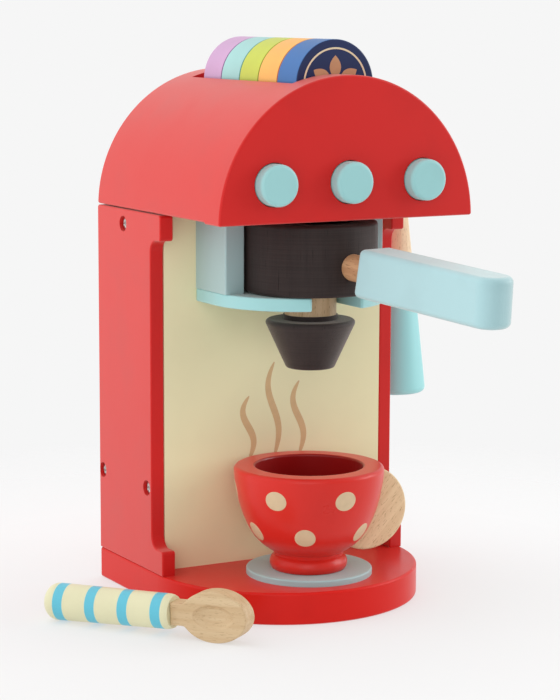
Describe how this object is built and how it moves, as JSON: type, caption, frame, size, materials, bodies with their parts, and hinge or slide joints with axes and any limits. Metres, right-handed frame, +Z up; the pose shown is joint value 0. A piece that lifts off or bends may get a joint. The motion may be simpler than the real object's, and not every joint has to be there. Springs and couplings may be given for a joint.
{
  "type": "toy coffee maker",
  "caption": "Wooden toy pod coffee maker with a half-round head, push buttons, a pull-out pod holder, a steam wand, pods, a cup and a spoon.",
  "frame": {"origin": "centre of the base board's underside, on the surface the toy stands on", "axes": "+Z up, -Y towards the front with the buttons, +X towards the steam wand"},
  "size_m": [0.2446, 0.2439, 0.2897],
  "materials": {
    "red_paint": "satin red paint on wood",
    "cream_paint": "satin cream paint on wood",
    "aqua_paint": "satin pale aqua paint on wood",
    "dark_stain": "dark brown stain with open grain",
    "bare_wood": "clear lacquered beech",
    "lilac_paint": "satin lilac paint on wood",
    "lime_paint": "satin lime paint on wood",
    "orange_paint": "satin orange paint on wood",
    "blue_paint": "satin blue paint on wood",
    "steel": "zinc plated steel"
  },
  "bodies": {
    "machine": {"base_board": "red_paint", "side_panel_left": "red_paint", "side_panel_right": "red_paint", "front_panel": "cream_paint", "back_panel": "red_paint", "top_board": "red_paint", "head_block": "red_paint", "head_front_plate": "red_paint", "head_dowels": "bare_wood", "bracket_block_left": "aqua_paint", "bracket_block_right": "aqua_paint", "bracket_dowels": "bare_wood", "fork_plate": "aqua_paint", "coaster": "aqua_paint", "side_screws_left": "steel", "side_screws_right": "steel", "base_screws": "steel", "head_screws": "steel", "fork_screws": "steel"},
    "push_button_left": {"button_left": "aqua_paint", "button_spring_left": "steel"},
    "push_button_middle": {"button_middle": "aqua_paint", "button_spring_middle": "steel"},
    "push_button_right": {"button_right": "aqua_paint", "button_spring_right": "steel"},
    "pod_blue": {"pod_1": "blue_paint"},
    "pod_orange": {"pod_2": "orange_paint"},
    "pod_lime": {"pod_3": "lime_paint"},
    "pod_aqua": {"pod_4": "aqua_paint"},
    "pod_lilac": {"pod_5": "lilac_paint"},
    "holder_spindle": {"spindle": "bare_wood", "nozzle": "dark_stain"},
    "holder_chamber": {"chamber": "dark_stain", "handle_peg": "bare_wood", "handle": "aqua_paint"},
    "wand": {"steam_wand": "bare_wood", "wand_pivot": "bare_wood", "pivot_collar": "bare_wood"},
    "cup": {"cup": "red_paint", "cup_ear": "bare_wood"},
    "spoon": {"spoon_handle": "cream_paint", "spoon_head": "bare_wood"}
  },
  "joints": [
    {"name": "press_left", "type": "slide", "parent": "machine", "child": "push_button_left", "axis": [0, 1, 0], "range_m": [0, 0.004], "stiffness_N_per_m": 250, "springref_m": -0.004, "deforming": ["button_spring_left"]},
    {"name": "press_middle", "type": "slide", "parent": "machine", "child": "push_button_middle", "axis": [0, 1, 0], "range_m": [0, 0.004], "stiffness_N_per_m": 250, "springref_m": -0.004, "deforming": ["button_spring_middle"]},
    {"name": "press_right", "type": "slide", "parent": "machine", "child": "push_button_right", "axis": [0, 1, 0], "range_m": [0, 0.004], "stiffness_N_per_m": 250, "springref_m": -0.004, "deforming": ["button_spring_right"]},
    {"name": "lift_pod_blue", "type": "slide", "parent": "machine", "child": "pod_blue", "axis": [0, 0, 1], "range_m": [0, 0.045]},
    {"name": "lift_pod_orange", "type": "slide", "parent": "machine", "child": "pod_orange", "axis": [0, 0, 1], "range_m": [0, 0.045]},
    {"name": "lift_pod_lime", "type": "slide", "parent": "machine", "child": "pod_lime", "axis": [0, 0, 1], "range_m": [0, 0.045]},
    {"name": "lift_pod_aqua", "type": "slide", "parent": "machine", "child": "pod_aqua", "axis": [0, 0, 1], "range_m": [0, 0.045]},
    {"name": "lift_pod_lilac", "type": "slide", "parent": "machine", "child": "pod_lilac", "axis": [0, 0, 1], "range_m": [0, 0.045]},
    {"name": "holder_pull", "type": "slide", "parent": "machine", "child": "holder_spindle", "axis": [0, -1, 0], "range_m": [0, 0.08]},
    {"name": "holder_turn", "type": "hinge", "parent": "holder_spindle", "child": "holder_chamber", "pos_m": [0, -0.03015, 0.163], "axis": [0, 0, 1], "range_deg": [-53.5, 36.5]},
    {"name": "wand_swing", "type": "hinge", "parent": "machine", "child": "wand", "pos_m": [0.0683, 0.03665, 0.177], "axis": [1, 0, 0], "continuous": true},
    {"name": "cup_take", "type": "slide", "parent": "machine", "child": "cup", "axis": [0, -1, 0], "range_m": [0, 0.11]},
    {"name": "spoon_lift", "type": "slide", "parent": "machine", "child": "spoon", "axis": [0, 0, 1], "range_m": [0, 0.06]}
  ]
}
